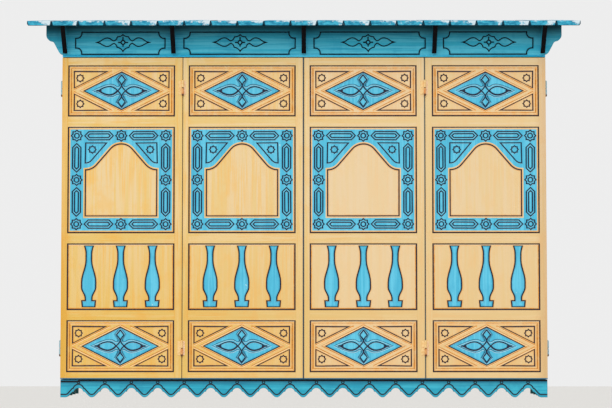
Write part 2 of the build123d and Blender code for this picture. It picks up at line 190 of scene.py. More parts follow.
# Millimetres by which a board may be thinner, and set back, at most
BOARD_UNEVEN = (1.6, 5)
ROOF_ARRIS = cutter(1.6, 1.4, 0.3, 1.0, 5.0)
STOP_HEIGHT = 17 * MM
STOP_THICK = 6 * MM
STOP_PLACE = 36 * MM
FLOOR_PLANKS = 4
PLANK_PLAY = 0.6 * MM

# Valance
TOOTH_PITCH = 105.46 * MM
TOOTH_HEIGHT = 37 * MM
CUSP_HEIGHT = 22 * MM
LOBE_HALF = 19.5 * MM
CUSP_STEP = 4.5 * MM
END_LAND = 15 * MM
VALANCE_SLIP = -2.5 * MM
LINE_RISE = mm(11, 15)
LINE_LOBE = 21 * MM
JOINT_RING = 5.2 * MM
STRIP = 4.4 * MM
STRIP_SLIP = 4.5 * MM
PAINTED = cutter(2.7, 1.4, 1.0, 0.4, 3.0)
# The strip line's wide teal stain is painted shade under the leaves.
STRIP_LINE = cutter(3.6, 2.4, 1.0, 0.8, 9.0)
JOINT = cutter(2.1, 1.4, 1.0, 0.3, 1.5)

# Hinges
HINGE_LENGTH = 60 * MM
HINGE_TIP = 3 * MM
HINGE_BARREL = 4.4 * MM
KNUCKLE_LIP = 0.8 * MM
KNUCKLE_GAP = 1.6 * MM
KNUCKLE_COLLAR = 6 * MM
PIN_ENDS = mm(2, 2.6, 2.9, 1)
PIN_TIP = 0.8
PIN_NECK = 0.5
PIN_POINT = 0.7
SIDE_BARREL_SHARE = 0.96
FLAP_THICK = 1.4 * MM
FLAP_SHORT = 4 * MM
FLAP_GAP = 1.8 * MM
LEFT_FLAP, RIGHT_FLAP = mm(16, 10)
SIDE_FLAP_INSET, SIDE_FLAP_SHIFT = mm(5, 2)
SCREW = 1.8 * MM
SCREW_PLACE = 0.3
FLAP_SCREW = cutter(1.0, 0.6, 0.25, 0.5, 1.0)

# Edges of the timbers that are eased
WELD = 0.01 * MM
FLAT_ANGLE = radians(1)
EASED_ANGLE = radians(30)

# Light
SKY_LIGHT = 0.55
SKY_SEEN = 0.85
SUN_STRENGTH = 1.72
SUN_HEIGHT = 42
SUN_SIDE = -12
SUN_WIDTH = 50


# Lines and outlines

def rectangle(width, height):
    x = width / 2
    z = height / 2
    return [(-x, -z), (x, -z), (x, z), (-x, z)]


def lozenge(x, z):
    return [(-x, 0.0), (0.0, -z), (x, 0.0), (0.0, z)]


def ring(cx, cz, *radii, count):
    """Points round a middle, at each of the radii by turns."""
    turns = [(radii[i % len(radii)], 2 * pi * i / count) for i in range(count)]
    return [(cx + radius * cos(a), cz + radius * sin(a)) for radius, a in turns]


def star(cx, cz, radius, points=8):
    """Outline of two squares laid crosswise."""
    inner = radius * cos(2 * pi / points) / cos(pi / points)
    return ring(cx, cz, radius, inner, count=2 * points)


def bezier(a, b, c, d, steps=8):
    line = []
    for i in range(steps + 1):
        t = i / steps
        s = 1 - t
        weights = (s ** 3, 3 * s * s * t, 3 * s * t * t, t ** 3)
        line.append(tuple(sum(w * p[k] for w, p in zip(weights, (a, b, c, d))) for k in (0, 1)))
    return line


def drawn(*points):
    """Points of a drawing given in millimetres."""
    return [mm(*point) for point in points]


def curve(*points, steps=8):
    """Chain of Bezier curves in millimetres: its start, and two handles and an end for each of them."""
    points = drawn(*points)
    line = points[:1]
    for i in range(0, len(points) - 1, 3):
        line += bezier(*points[i:i + 4], steps)[1:]
    return line


def ogee(low, high, corner, steps=7):
    """Arc, line and arc from the low point to the high one at its right, level at both ends."""
    slope = atan2(high[1] - low[1], high[0] - low[0] - 2 * corner)
    radius = corner / tan(slope / 2)
    turns = [slope * i / steps for i in range(steps + 1)]
    rise = [(low[0] + radius * sin(a), low[1] + radius * (1 - cos(a))) for a in turns]
    crown = [(high[0] - radius * sin(a), high[1] - radius * (1 - cos(a))) for a in turns]
    return rise + crown[::-1]


def ease(low, high, steps=6):
    """A curve from the low point to the high one, upright at both ends."""
    line = []
    for i in range(steps + 1):
        t = i / steps
        line.append((low[0] + (high[0] - low[0]) * t * t * (3 - 2 * t), low[1] + (high[1] - low[1]) * t))
    return line


def flip(line, x=-1, z=1):
    """The line mirrored, drawn the other way round."""
    return [(x * a, z * b) for a, b in reversed(line)]


def thin_out(line, closed):
    """The line without points that repeat."""
    kept = [p for i, p in enumerate(line) if i == 0 or dist(p, line[i - 1]) > TINY]
    if closed and dist(kept[0], kept[-1]) < TINY:
        kept.pop()
    return kept


def beside(line, gap, closed=True):
    """The line moved to its left by the gap, with mitred corners."""
    points = [Vector(p) for p in thin_out(line, closed)]
    count = len(points)
    moved = []
    for i, p in enumerate(points):
        before = points[i - 1] if closed or i > 0 else None
        after = points[(i + 1) % count] if closed or i < count - 1 else None
        ways = [(p - before).normalized()] if before is not None else []
        ways += [(after - p).normalized()] if after is not None else []
        normals = [Vector((-w.y, w.x)) for w in ways]
        middle = sum(normals, Vector((0, 0))).normalized()
        reach = min(1 / max(middle.dot(normals[0]), 1e-3), MITRE)
        moved.append(tuple(p + middle * gap * reach))
    return moved


def around(line, gap, closed):
    """Loops round a cut at a distance from its middle."""
    if closed:
        return [beside(line, gap), beside(line, -gap)]
    points = [Vector(p) for p in thin_out(line, False)]
    start = points[0] + (points[0] - points[1]).normalized() * gap
    end = points[-1] + (points[-1] - points[-2]).normalized() * gap
    left = beside(line, gap, False)
    right = beside(line, -gap, False)
    return [[tuple(start), *right, tuple(end), *reversed(left)]]


# Carved boards

Solid = namedtuple("Solid", "points faces paint line stain")


class Board:
    """A flat board with an outline, painted or sunk fields and carved lines."""

    def __init__(self, outline, edge=BORDER):
        self.outline = thin_out(outline, True)
        self.fields = []
        self.cuts = []
        self.edge = edge

    def field(self, loop, paint=0, depth=0.0):
        self.fields.append((thin_out(loop, True), paint, depth))

    def cut(self, line, tool=LINE, closed=True):
        self.cuts.append((thin_out(line, closed), tool, closed))


def segments(line, closed):
    ends = line[1:] + line[:1] if closed else line[1:]
    return [(*a, *b) for a, b in zip(line, ends)]


def distance(points, runs):
    """Distance from each point to the nearest of the straight runs, a batch of points at a time."""
    runs = np.array(runs)
    a = runs[:, :2]
    way = runs[:, 2:] - a
    length = np.maximum((way ** 2).sum(1), 1e-18)
    nearest = np.empty(len(points))
    for i in range(0, len(points), BATCH):
        part = points[i:i + BATCH, None, :] - a
        t = np.clip((part * way).sum(2) / length, 0, 1)
        nearest[i:i + BATCH] = np.sqrt(((part - t[..., None] * way) ** 2).sum(2)).min(1)
    return nearest


def inside(points, loop):
    loop = np.array(loop)
    x = points[:, 0]
    z = points[:, 1]
    odd = np.zeros(len(points), bool)
    for (x0, z0), (x1, z1) in zip(loop, np.roll(loop, -1, 0)):
        crosses = (z0 > z) != (z1 > z)
        rise = z1 - z0 if z1 != z0 else 1e-12
        odd ^= crosses & (x < (x1 - x0) * (z - z0) / rise + x0)
    return odd


def board_lines(board):
    """Every line that the board's face is cut along, as loops and open lines."""
    lines = [(board.outline, True)]
    lines += [(loop, True) for loop, paint, depth in board.fields]
    if board.edge:
        for gap in (board.edge.half, board.edge.half + board.edge.reach):
            lines.append((beside(board.outline, gap), True))
    for line, tool, closed in board.cuts:
        lines.append((line, closed))
        for gap in (tool.half, tool.half + tool.reach):
            lines += [(loop, True) for loop in around(line, gap, closed)]
    return lines


def relief(board, points):
    """Depth, paint line and stain at each point of the face."""
    depth = np.zeros(len(points))
    line = np.zeros(len(points))
    stain = np.zeros(len(points))
    for loop, paint, sunk in board.fields:
        if sunk:
            slope = distance(points, segments(loop, True)) / LINE.half
            depth = np.maximum(depth, np.where(inside(points, loop), sunk * np.clip(slope, 0, 1), 0))
    kinds = {}
    for run, tool, closed in board.cuts:
        kinds.setdefault(tool, []).extend(segments(run, closed))
    if board.edge:
        kinds.setdefault(board.edge, []).extend(segments(board.outline, True))
    carved = np.zeros(len(points))
    for tool, runs in kinds.items():
        away = distance(points, runs)
        level = np.clip(1 - away / tool.half, 0, 1)
        level[level < 1e-3] = 0
        spread = np.clip(1 - (away - tool.half) / tool.reach, 0, 1)
        carved = np.maximum(carved, level * tool.depth)
        line = np.maximum(line, level * tool.line)
        stain = np.maximum(stain, spread * tool.stain)
    return depth + carved, line, stain


def carve(board, thick, ground=0, rear=None):
    """The board as a solid, its front at y = 0, with what is carved into it."""
    points = []
    edges = []
    for line, closed in board_lines(board):
        start = len(points)
        points += line
        count = len(line)
        edges += [(start + i, start + (i + 1) % count) for i in range(count if closed else count - 1)]
    outline = list(range(len(board.outline)))
    flat, _, faces, _, _, _ = delaunay_2d_cdt([Vector(p) for p in points], edges, [outline], 1, TINY)
    flat = np.array([tuple(p) for p in flat])
    depth, line, stain = relief(board, flat)
    middles = np.array([flat[list(f)].mean(0) for f in faces])
    kept = inside(middles, board.outline)
    middles = middles[kept]
    used, corners = np.unique([f for f, keep in zip(faces, kept) if keep], return_inverse=True)
    flat, depth, line, stain = flat[used], depth[used], line[used], stain[used]
    faces = corners.reshape(-1, 3).tolist()
    paint = np.full(len(faces), ground)
    for loop, index, sunk in board.fields:
        paint[inside(middles, loop)] = index
    flat += wander(board, flat)
    front = np.column_stack([flat[:, 0], depth, flat[:, 1]])
    return close_back(front, faces, paint, line, stain, thick, ground if rear is None else rear)


def wander(board, points):
    """Small unevenness of lines cut by hand, none at the board's edges."""
    free = np.clip(distance(points, segments(board.outline, True)) / FREE_EDGE, 0, 1)
    seed = Vector((random.random() * HAND_SPREAD, 0, random.random() * HAND_SPREAD))
    drift = [noise.noise_vector(Vector((x, 0, z)) * HAND_FREQUENCY + seed) for x, z in points]
    return np.array([(v.x, v.z) for v in drift]) * free[:, None] * HAND_DRIFT


def close_back(front, faces, paint, line, stain, thick, rear):
    """Sides and a back, in the rear paint, for a carved face."""
    runs = {(a, b) for face in faces for a, b in zip(face, face[1:] + face[:1])}
    rim = {a: b for a, b in sorted(runs) if (b, a) not in runs}
    start = next(iter(rim))
    loop = [start]
    while rim[loop[-1]] != start:
        loop.append(rim[loop[-1]])
    count = len(front)
    behind = front[loop].copy()
    behind[:, 1] = thick
    walls = []
    for i, a in enumerate(loop):
        j = (i + 1) % len(loop)
        walls.append([loop[j], a, count + i, count + j])
    back = [count + i for i in range(len(loop) - 1, -1, -1)]
    extra = np.zeros(len(loop))
    return Solid(np.vstack([front, behind]), faces + walls + [back],
                 np.concatenate([paint, np.full(len(walls) + 1, rear)]),
                 np.concatenate([line, extra]), np.concatenate([stain, extra]))


def moved(solid, matrix):
    turned = np.array(matrix.to_3x3())
    return solid._replace(points=solid.points @ turned.T + np.array(matrix.translation))


def joined(solids):
    faces = []
    start = 0
    for solid in solids:
        faces += [[v + start for v in face] for face in solid.faces]
        start += len(solid.points)
    points, _, *layers = (list(values) for values in zip(*solids))
    return Solid(np.vstack(points), faces, *(np.concatenate(layer) for layer in layers))


# Panel designs

def diamond_motif(board):
    """Two ribbons crossed over and under a knot, with a bud at each end and a leaf on each side."""
    strand = drawn((0, 64.5))
    strand += curve((15.5, 44), (10, 38), (3, 33), (0, 21.5), (3, 13), (9, 6), (16, 0))
    leaf = curve((16, 0), (37, 24), (62, 21), (93, 0))
    quarter = drawn((0, 71), (21, 47)) + curve((9, 26), (5, 10), (20, 14), (27, 21), steps=5)
    quarter += curve((27, 21), (46, 32), (72, 20), (117, 0), steps=7)[1:]
    for side in (-1, 1):
        for end, leaf_tool in ((-1, SHADE), (1, RIBBON)):
            board.cut([(side * x, end * z) for x, z in strand], RIBBON, False)
            board.cut([(side * x, end * z) for x, z in leaf], leaf_tool, False)
        board.cut([(side * x, z) for x, z in drawn((84, 0), (100, 0))], SHADE, False)
    half = quarter + flip(quarter, 1, -1)[1:]
    board.cut(half + flip(half)[1:-1], SCORE)


def diamond_board(width, height):
    """Interlaced straps round a painted lozenge, with a star in each corner triangle."""
    board = Board(rectangle(width, height))
    field_width = width - 2 * STRAP_BORDER
    field_height = height - 2 * STRAP_BORDER
    half_width = field_width / 2 - DIAMOND_SIDE_INSET
    half_height = field_height / 2 - DIAMOND_TOP_INSET
    long = hypot(half_width, half_height)
    grow = 1 + STRAP * long / (half_width * half_height)
    x = field_width / 2
    z = field_height / 2
    leg_x = x - half_width * grow * (1 - z / (half_height * grow))
    leg_z = z - half_height * grow * (1 - x / (half_width * grow))
    bead_x = TRIANGLE_BEAD * long / half_height
    bead_z = TRIANGLE_BEAD * long / half_width
    for side in (-1, 1):
        for end in (-1, 1):
            corner = [(side * x, end * z), (side * (x - leg_x), end * z), (side * x, end * (z - leg_z))]
            if side == end:
                corner.reverse()
            board.field(corner, 0, TRIANGLE_DEPTH)
            board.cut(corner)
            slope = [(side * (x - leg_x - bead_x), end * z), (side * x, end * (z - leg_z - bead_z))]
            board.cut(slope, BEAD, False)
            board.cut(star(side * (x - STAR_INSET[0]), end * (z - STAR_INSET[1]), STAR), FINE)
    diamond = lozenge(half_width, half_height)
    board.field(diamond, 1)
    board.cut(diamond)
    bead = 1 + STRAP_BEAD * long / (half_width * half_height)
    board.cut(lozenge(half_width * bead, half_height * bead), BEAD)
    board.cut(rectangle(width - 2 * BORDER_BEAD, height - 2 * BORDER_BEAD), BEAD)
    diamond_motif(board)
    return board


def arch_rise(half_width, top):
    """Left half of the arch, from its shoulder to its tip."""
    return ogee((-half_width, top - ARCH_RISE), (0, top), ARCH_CORNER)


def arch_outline(half_width, base, top):
    left = [(-half_width, base)] + arch_rise(half_width, top)
    return [(-x, z) for x, z in left] + left[-2::-1]


def spandrel(half_width, top):
    """Corner piece over the left shoulder of the arch, bounded by a parallel of its curve."""
    curved = beside(arch_rise(half_width, top), SPANDREL_STRAP, False)
    ceiling = top + SPANDREL_LIFT
    low = [p for p in curved if p[1] < ceiling]
    over = curved[len(low)]
    last = low[-1]
    t = (ceiling - last[1]) / (over[1] - last[1])
    meet = (last[0] + (over[0] - last[0]) * t, ceiling)
    return [(-half_width, ceiling), *low, meet]


def arch_board(width, height):
    """A painted border of stars and long hexagons round an ogee-arched field."""
    board = Board(rectangle(width, height))
    board.field(rectangle(width - 2 * ARCH_BEAD, height - 2 * ARCH_BEAD), 1)
    band = ARCH_BEAD + ARCH_BAND
    half_width = width / 2 - band - ARCH_SIDE
    top = height / 2 - band
    arch = arch_outline(half_width, -top, top)
    board.field(beside(arch, -ARCH_LIP), 0)
    board.field(arch, 0, ARCH_DEPTH)
    board.cut(arch)
    mid_x = width / 2 - ROSETTE_INSET
    mid_z = height / 2 - ROSETTE_INSET
    for x in (-mid_x, 0, mid_x):
        for z in (-mid_z, 0, mid_z):
            if x or z:
                board.cut(star(x, z, ROSETTE), FINE)
                board.cut(ring(x, z, ROSETTE_RING, count=12), FINE)
    long_x = (min(HEXAGON[0], mid_x - 2 * (ROSETTE + HEXAGON_GAP)), *HEXAGON[1:])
    for a in (-1, 1):
        for b in (-1, 1):
            long_hexagon(board, a * mid_x / 2, b * mid_z, long_x, False)
            long_hexagon(board, a * mid_x, b * mid_z / 2, HEXAGON, True)
    corner = spandrel(half_width, top)
    for side in (1, -1):
        shape = corner if side == 1 else flip(corner)
        board.cut(shape, FINE)
        x = -half_width + SPANDREL_STAR
        board.cut(star(side * x, top + SPANDREL_LIFT - SPANDREL_STAR, STAR), FINE)
    return board


def long_hexagon(board, cx, cz, size, upright):
    """A hexagon stretched to its length, cut twice, one inside the other."""
    length, width, point = size
    x = length / 2
    z = width / 2
    shape = [(-x, 0), (-x + point, -z), (x - point, -z), (x, 0), (x - point, z), (-x + point, z)]
    if upright:
        shape = [(-b, a) for a, b in shape]
    shape = [(cx + a, cz + b) for a, b in shape]
    board.cut(shape, FINE)
    board.cut(beside(shape, HEXAGON_INSET), FINE)


def baluster_outline(cx, base, top):
    foot, ankle = BALUSTER_FOOT
    profile = [(foot, base), (ankle, base + FOOT_HEIGHT), (BALUSTER_WAIST, base + FOOT_HEIGHT)]
    belly = (BALUSTER_BELLY, base + BELLY_HEIGHTS[0])
    profile += ease((BALUSTER_WAIST, base + WAIST_HEIGHT), belly)
    neck = (BALUSTER_NECK, top - NECK_DROPS[0])
    profile += ease((BALUSTER_BELLY, base + BELLY_HEIGHTS[1]), neck)
    beyond = (2 * BALUSTER_TOP - BALUSTER_NECK, top + NECK_DROPS[1])
    flare = ease((BALUSTER_NECK, top - NECK_DROPS[1]), beyond)
    profile += flare[:len(flare) // 2 + 1]
    right = [(cx + x, z) for x, z in profile]
    return right + [(2 * cx - x, z) for x, z in reversed(right)]


def baluster_board(width, height):
    """Three flat balusters outlined on a plain field."""
    board = Board(rectangle(width, height))
    base = -height / 2 + BALUSTER_MARGIN[0]
    top = height / 2 - BALUSTER_MARGIN[1]
    for i in (-1, 0, 1):
        shape = baluster_outline(i * BALUSTER_PITCH, base, top)
        board.field(shape, 1)
        board.cut(shape)
    board.cut(rectangle(width - 2 * PANEL_BEAD, height - 2 * PANEL_BEAD), BEAD)
    return board


# Materials

def srgb(red, green, blue):
    """A colour given in 0 to 255 as the linear values that a shader takes."""
    def linear(value):
        value /= 255
        return value / 12.92 if value <= 0.04045 else ((value + 0.055) / 1.055) ** 2.4
    return (linear(red), linear(green), linear(blue), 1.0)


class Nodes:
    """Nodes of a tree, added and linked by short calls."""

    def __init__(self, tree):
        self.tree = tree

    def add(self, kind, sockets, output=0, **settings):
        node = self.tree.nodes.new("ShaderNode" + kind)
        for key, value in settings.items():
            setattr(node, key, value)
        for key, value in sockets.items():
            self.feed(node.inputs[key], value)
        return node.outputs[output]

    def feed(self, socket, value):
        if isinstance(value, bpy.types.NodeSocket):
            self.tree.links.new(value, socket)
        else:
            socket.default_value = value

    def math(self, operation, a, b=0):
        return self.add("Math", {0: a, 1: b}, operation=operation)


class Graph(Nodes):
    """Nodes of a material that is painted in the object's own frame. Tones are given in 0 to 255."""

    def __init__(self, name, roughness, gloss=0.35):
        self.material = bpy.data.materials.new(name)
        self.material.use_nodes = True
        super().__init__(self.material.node_tree)
        self.shader = self.tree.nodes["Principled BSDF"].inputs
        self.feed(self.shader["Roughness"], roughness)
        self.feed(self.shader["Specular IOR Level"], gloss)
        self.place = self.add("TexCoord", {}, "Object")

    def noise(self, scale, stretch=(1, 1, 1), detail=3.0, rough=0.55):
        place = self.add("Mapping", {"Vector": self.place, "Scale": stretch})
        sockets = {"Vector": place, "Scale": scale, "Detail": detail, "Roughness": rough}
        return self.add("TexNoise", sockets)

    def axis(self, vector, index):
        return self.add("SeparateXYZ", {"Vector": vector}, index)

    def facing(self, index):
        return self.axis(self.add("NewGeometry", {}, "Normal"), index)

    def between(self, value, low, high, start=0.0, end=1.0):
        sockets = {"Value": value, "From Min": low, "From Max": high, "To Min": start, "To Max": end}
        return self.add("MapRange", sockets, clamp=True, interpolation_type="SMOOTHSTEP")

    def plus(self, a, b):
        return self.math("ADD", a, b)

    def less(self, a, b):
        return self.math("SUBTRACT", a, b)

    def times(self, a, b):
        return self.math("MULTIPLY", a, b)

    def mix(self, factor, a, b, blend="MIX"):
        a, b = (srgb(*colour) if isinstance(colour, tuple) else colour for colour in (a, b))
        return self.add("Mix", {0: factor, 6: a, 7: b}, 2, data_type="RGBA", blend_type=blend)

    def layer(self, name):
        return self.add("Attribute", {}, "Fac", attribute_name=name)

    def bump(self, height, strength, reach):
        normal = self.add("Bump", {"Height": height, "Strength": strength, "Distance": reach})
        self.feed(self.shader["Normal"], normal)

    def finish(self, colour):
        self.feed(self.shader["Base Color"], colour)
        return self.material


# Scales along the wood, as shares of those across it: of its grain and of streaks of paint
GRAIN = 0.1
FLOW = 0.03


def drawn_out(way, share):
    """Scale of a texture drawn out along the axis that the wood runs."""
    return tuple(share if axis == way else 1.0 for axis in "xyz")


def washed(g, colour, washes):
    """Bands of another tone over the paint, each by distance from a level on one axis."""
    for axis, level, start, end, strength, blend, tone in washes:
        away = g.math("ABSOLUTE", g.less(g.axis(g.place, axis), level))
        colour = g.mix(g.between(away, start, end, 0.0, strength), colour, tone, blend)
    return colour


def painted_wood(name, coat, way="z", roughness=0.5, washes=(), gloss=0.35, glint=None, chipped=None):
    """Brushed paint over wood: three tones in streaks, dark carved lines, stained edges that are in
    places painted shade, and a painted highlight on the cuts' up-facing flanks.
    """
    g = Graph(name, roughness, gloss)
    flow = drawn_out(way, FLOW)
    broad = g.between(g.noise(60, flow), 0.44, 0.57)
    patch = g.between(g.noise(9, (1, 1, 0.35)), 0.38, 0.62)
    thin = g.between(g.noise(150, flow), 0.46, 0.62)
    colour = g.mix(g.times(broad, 0.85), coat.base, coat.pale)
    colour = g.mix(g.times(thin, g.between(patch, 0, 1, 0.2, 0.7)), colour, coat.deep)
    blotch = g.between(g.noise(18, (1, 1, 0.7), 4.0, 0.6), 0.5, 0.68, 0.0, 0.4)
    colour = washed(g, g.mix(blotch, colour, coat.deep), washes)
    if chipped:
        chips = g.between(g.noise(55, (1, 1, 0.6), 6.0, 0.7), 0.68, 0.71, 0.0, 0.7)
        colour = g.mix(chips, colour, chipped)
    edge = g.times(g.layer("stain"), g.between(g.noise(40), 0.3, 0.6, 0.45, 1.0))
    colour = g.mix(edge, colour, coat.stain)
    mark = g.plus(g.layer("line"), g.times(g.less(g.noise(140), 0.5), 0.2))
    # Painted highlight: the up-facing flanks of the cuts take the glint tone, and the dark line gives way
    # there.
    if glint:
        rise = g.facing(2)
        lit = g.times(g.between(rise, 0.2, 0.45), g.between(rise, 0.95, 0.85))
        colour = g.mix(g.times(lit, 0.75), colour, glint)
        mark = g.less(mark, g.times(lit, 0.13))
    colour = g.mix(g.between(mark, 0.04, 0.24), colour, coat.line)
    g.bump(g.noise(420, drawn_out(way, GRAIN), 4.0), 0.12, 0.0006)
    return g.finish(colour)


def plain_wood(way):
    """Unpainted softwood that has darkened with age."""
    g = Graph("wood_along_" + way, 0.7)
    grain = drawn_out(way, GRAIN)
    rings = g.between(g.noise(60, grain, 5.0), 0.35, 0.68)
    colour = g.mix(rings, (176, 136, 92), (126, 88, 56))
    stain = g.between(g.noise(9), 0.4, 0.7)
    colour = g.mix(g.times(stain, 0.5), colour, (104, 82, 62))
    g.bump(g.noise(260, grain, 5.0), 0.3, 0.001)
    return g.finish(colour)


def weathered_paint(name):
    """Roof paint that has worn off in pale patches on the boards' upper side, most at one edge, with
    painted shade on the boards' sides, undersides and joints.
    """
    g = Graph(name, 0.6, 0.15)
    streaks = g.between(g.noise(34, (1.0, 0.1, 3.0), 5.0, 0.65), 0.38, 0.62)
    colour = g.mix(streaks, (72, 186, 216), (26, 128, 164))
    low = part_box("roof_deck")[0]
    # 0 at a board's left edge and 1 at its right one, with whole boards added to stay above 0
    share = g.math("FRACT", g.plus(g.math("DIVIDE", g.axis(g.place, 0), BOARD), 50.5))
    up = (0, -sin(ROOF_SLOPE), cos(ROOF_SLOPE))
    lift = g.add("VectorMath", {0: g.place, 1: up}, "Value", operation="DOT_PRODUCT")
    level = g.less(lift, -sin(ROOF_SLOPE) * low.y + cos(ROOF_SLOPE) * low.z)
    upper = g.between(level, 0.003, 0.019, 0.0, 0.12)
    worn_end = g.between(share, 0.35, 0.98, -0.06, 0.1)
    patches = g.plus(g.noise(34, (1, 0.16, 1.2), 8.0, 0.72), g.plus(upper, worn_end))
    worn = g.between(patches, 0.57, 0.69)
    colour = g.mix(worn, colour, (216, 234, 242))
    # The cut lines at the joints and the closing slip are painted dark: painted shade in the V joints.
    colour = g.mix(g.between(g.layer("line"), 0.1, 0.5), colour, (4, 62, 84))
    # Painted shade on faces that turn sideways into the joints or down under the boards.
    flank = g.math("ABSOLUTE", g.facing(0))
    under = g.times(g.facing(2), -1)
    joint_shade = g.math("MAXIMUM", g.between(flank, 0.35, 0.65), g.between(under, 0.25, 0.6))
    colour = g.mix(joint_shade, colour, (8, 62, 80))
    g.bump(g.less(g.noise(200, drawn_out("y", GRAIN), 4.0), g.times(worn, 0.6)), 0.3, 0.001)
    return g.finish(colour)


def enamel(name, base, deep, worn, roughness=0.5, gloss=0.35):
    """Thick paint on metal, chipped in small spots."""
    g = Graph(name, roughness, gloss)
    colour = g.mix(g.between(g.noise(90), 0.4, 0.65), base, deep)
    chips = g.between(g.noise(160, (1, 1, 0.6), 5.0, 0.6), 0.6, 0.66)
    colour = g.mix(chips, colour, worn)
    g.bump(g.less(g.noise(220), chips), 0.25, 0.0006)
    return g.finish(colour)


BROWN_LINE = (42, 30, 46)
NAVY_LINE = (14, 26, 58)
BLACK_LINE = (6, 10, 18)
ORANGE = (234, 154, 46)
TEAL = (24, 124, 158)

Coat = namedtuple("Coat", "base deep pale line stain")
CREAM = Coat((230, 197, 119), (237, 182, 82), (236, 207, 152), BROWN_LINE, ORANGE)
FIELD = Coat((233, 200, 129), (240, 188, 94), (235, 207, 157), BROWN_LINE, ORANGE)
BLUE = Coat((77, 188, 220), (65, 173, 208), (102, 203, 232), NAVY_LINE, TEAL)
FRIEZE = Coat((58, 183, 213), (42, 160, 196), (90, 201, 227), BLACK_LINE, TEAL)
VALANCE = Coat((28, 162, 190), (18, 140, 172), (58, 182, 206), BLACK_LINE, TEAL)
BRIGHT = Coat((42, 194, 244), (30, 172, 222), (78, 212, 250), BLACK_LINE, TEAL)
SHADED = Coat((10, 66, 68), (8, 54, 58), (16, 78, 82), BLACK_LINE, BLACK_LINE)
CHIPPED = (214, 238, 244)
CREAM_GLINT = (250, 226, 178)
BLUE_GLINT = (176, 230, 246)

# Washes: axis, level on it, distances where the wash starts and is full, strength, blend and tone
X = 0
Z = 2
LAST_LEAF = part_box(f"leaf_{LEAVES}_frame")
BOX_END = LAST_LEAF[1].x
LAST_FOLD = LAST_LEAF[0].x - LEAF_GAP / 2
VALANCE_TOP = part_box("front_valance")[1].z
# The yellow paint grows deeper in tone and a little darker towards the bottom.
DEEPER_BELOW = (Z, 1.5, 0.7, 1.3, 1.0, "MULTIPLY", (251, 241, 198))
PALE_END = (X, BOX_END, 1.9, 0.2, 0.5, "MIX", (228, 202, 166))
DUSTY_LEFT = (X, -BOX_END, 0.055, 0.0, 0.8, "MULTIPLY", (250, 228, 160))
DUSTY_RIGHT = (X, BOX_END, 0.055, 0.0, 0.6, "MULTIPLY", (230, 218, 218))
MIDDLE_JOINT = (X, -1.8 * MM, 3.4 * MM, 2.4 * MM, 0.9, "MIX", (20, 72, 96))
LAST_JOINT = (X, LAST_FOLD - 1.5 * MM, 3.2 * MM, 2.2 * MM, 0.7, "MIX", (30, 90, 100))
BLEACHED = (X, 0.25, 0.34, 0.1, 0.4, "MIX", (234, 208, 172))
# The lowest few millimetres of the leaves and side frames are painted teal.
TEAL_FOOT = (Z, LAST_LEAF[0].z, TEAL_FOOT_HEIGHT + 1 * MM, TEAL_FOOT_HEIGHT - 1 * MM, 1.0, "MIX", (10, 104, 134))
# Painted shade: the frieze, its cheeks and the gussets grow darker towards the top, under the roof.
EAVES_SHADE = (Z, 0.0, 1.362, 1.425, 1.0, "MULTIPLY", (106, 104, 102))
# Painted shade: the valances grow darker near their top, under the leaves.
SHADE_UNDER_LEAVES = (Z, VALANCE_TOP, 0.03, 0.006, 1.0, "MULTIPLY", (188, 200, 204))

FRAME_WASHES = (DEEPER_BELOW, PALE_END, DUSTY_LEFT, DUSTY_RIGHT, MIDDLE_JOINT, LAST_JOINT, TEAL_FOOT)
yellow_z = painted_wood("yellow_upright", CREAM, washes=FRAME_WASHES)
yellow_x = painted_wood("yellow_across", CREAM, "x", washes=FRAME_WASHES)
yellow_y = painted_wood("yellow_inward", CREAM, "y", washes=(DEEPER_BELOW, TEAL_FOOT))
field_z = painted_wood("yellow_panel", FIELD, washes=(DEEPER_BELOW, PALE_END, BLEACHED), glint=CREAM_GLINT)
blue_z = painted_wood("blue_panel", BLUE, roughness=0.4, glint=BLUE_GLINT, chipped=CHIPPED)
frieze_x = painted_wood("blue_frieze", FRIEZE, "x", 0.6, (EAVES_SHADE,), 0.15)
frieze_y = painted_wood("blue_cheek", FRIEZE, "y", 0.6, (EAVES_SHADE,), 0.15)
bead_blue = painted_wood("blue_bead", BRIGHT, "x", 0.45)
bracket_paint = painted_wood("blue_gusset", FRIEZE, "z", 0.6, (EAVES_SHADE,), 0.15)
valance_x = painted_wood("blue_valance", VALANCE, "x", washes=(SHADE_UNDER_LEAVES,))
valance_y = painted_wood("blue_end_valance", VALANCE, "y", washes=(SHADE_UNDER_LEAVES,))
# Painted shade: a dark teal for the backs of the valances.
shaded_teal = painted_wood("painted_shade_teal_rear", SHADED, "z", 0.7, gloss=0.15)
wood_x, wood_y, wood_z = (plain_wood(way) for way in "xyz")
roof_paint = weathered_paint("roof_paint")
lap_blue = enamel("blue_lap", (40, 124, 164), (28, 100, 138), (20, 64, 84))
iron = enamel("black_iron", (5, 3, 7), (10, 7, 12), (30, 22, 24), 0.8, 0.1)
hinge_cream = enamel("cream_hinge", (242, 206, 144), (234, 188, 120), (204, 134, 76))
hinge_orange = enamel("orange_knuckle", (230, 172, 108), (214, 140, 80), (130, 74, 44))
hinge_pink = enamel("pink_flap", (240, 206, 168), (236, 194, 150), (196, 130, 90))
hinge_blue = enamel("grey_blue_hinge", (170, 196, 202), (140, 182, 196), (92, 84, 80))
rust = enamel("rusty_pin", (84, 52, 38), (110, 68, 46), (48, 34, 30), 0.8)

YELLOW_X = [yellow_z, yellow_x, lap_blue]
YELLOW_Y = [yellow_z, yellow_y]
PANEL = [field_z, blue_z]
UPRIGHT = 0
ACROSS = 1
TONGUE = 2


# Pieces

def placed(name, data):
    thing = bpy.data.objects.new(name, data)
    bpy.context.scene.collection.objects.link(thing)
    return thing


def add_piece(name, mesh, nodes=()):
    piece = placed(name, mesh)
    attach(piece, BODY)
    if nodes:
        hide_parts(*nodes)
    return piece


